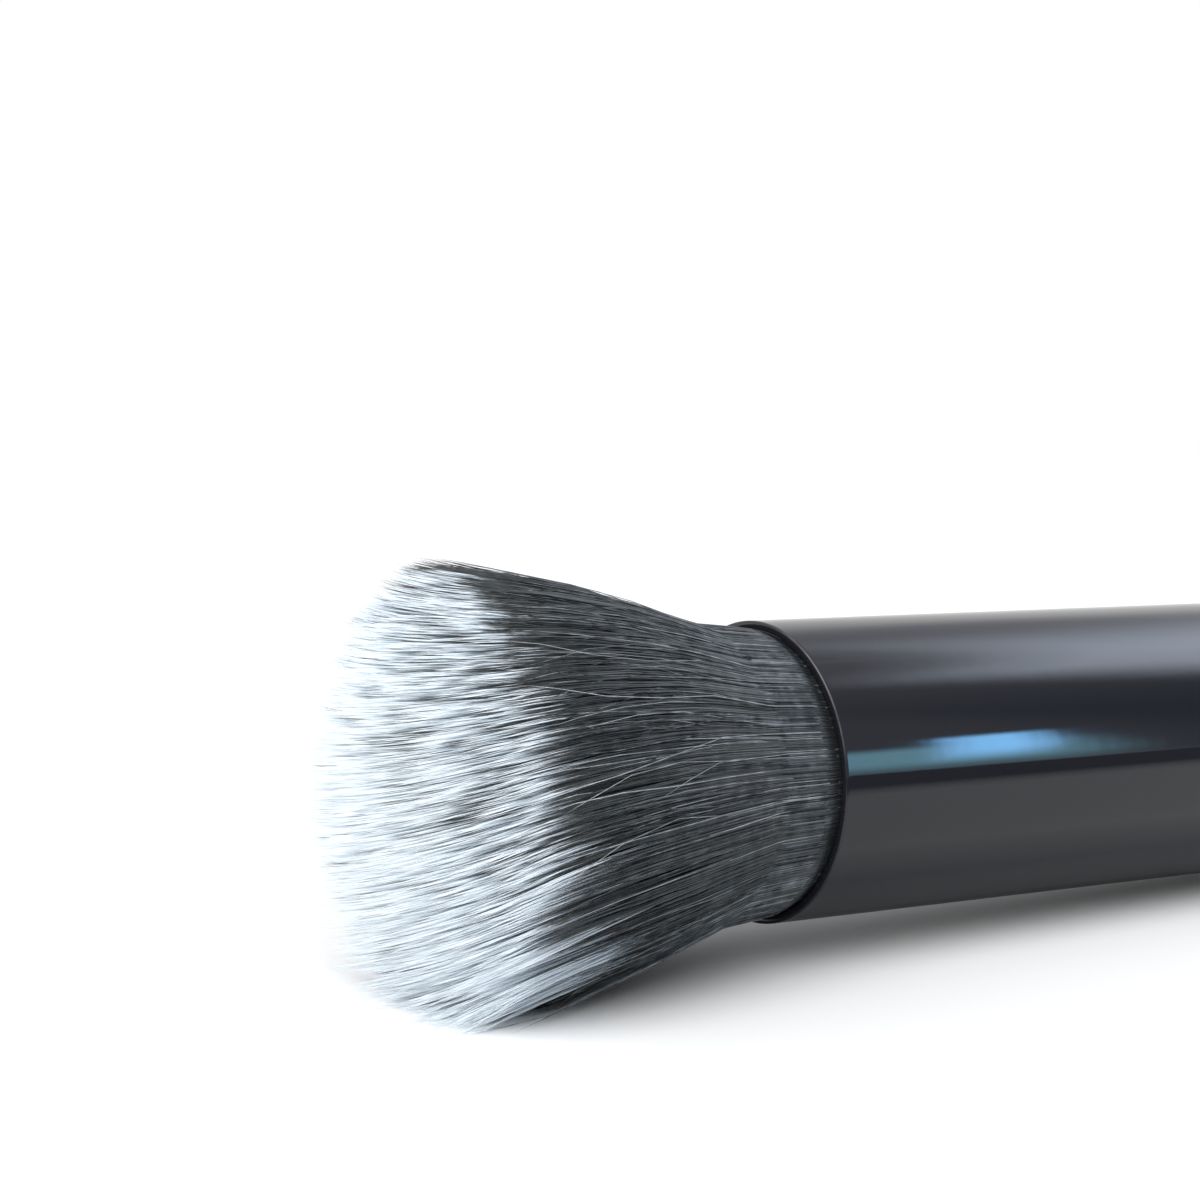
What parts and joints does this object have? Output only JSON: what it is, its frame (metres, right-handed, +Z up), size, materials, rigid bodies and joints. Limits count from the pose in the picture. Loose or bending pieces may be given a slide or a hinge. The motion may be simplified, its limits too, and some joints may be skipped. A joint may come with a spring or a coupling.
{
  "type": "powder stippling brush",
  "caption": "Round cosmetic brush with a flared, domed head of short dark and longer pale-tipped fibres, a black tubular ferrule with a glossy mouth collar, and a turned handle.",
  "frame": {"origin": "on the table under the middle of the whole brush, which lies on its side", "axes": "+X towards the butt of the handle and the fibre head towards -X, +Y across the brush, +Z up from the table; the brush's own axis is tipped 1.43 degrees, head end up"},
  "size_m": [0.1668, 0.0216, 0.021],
  "materials": {
    "handle_lacquer": "black gloss lacquer over turned wood",
    "ferrule_lacquer": "high-gloss black lacquer on drawn aluminium",
    "collar_gloss": "polished black",
    "dark_fibre": "charcoal synthetic filament, satin",
    "pale_fibre": "icy white synthetic filament, satin",
    "binding_thread": "undyed waxed thread",
    "knot_resin": "cured clear amber resin"
  },
  "bodies": {
    "root": {"handle": "handle_lacquer", "ferrule": "ferrule_lacquer", "mouth_collar": "collar_gloss", "dark_fibres": "dark_fibre", "pale_fibres": "pale_fibre", "root_binding": "binding_thread", "resin_plug": "knot_resin"}
  },
  "joints": []
}
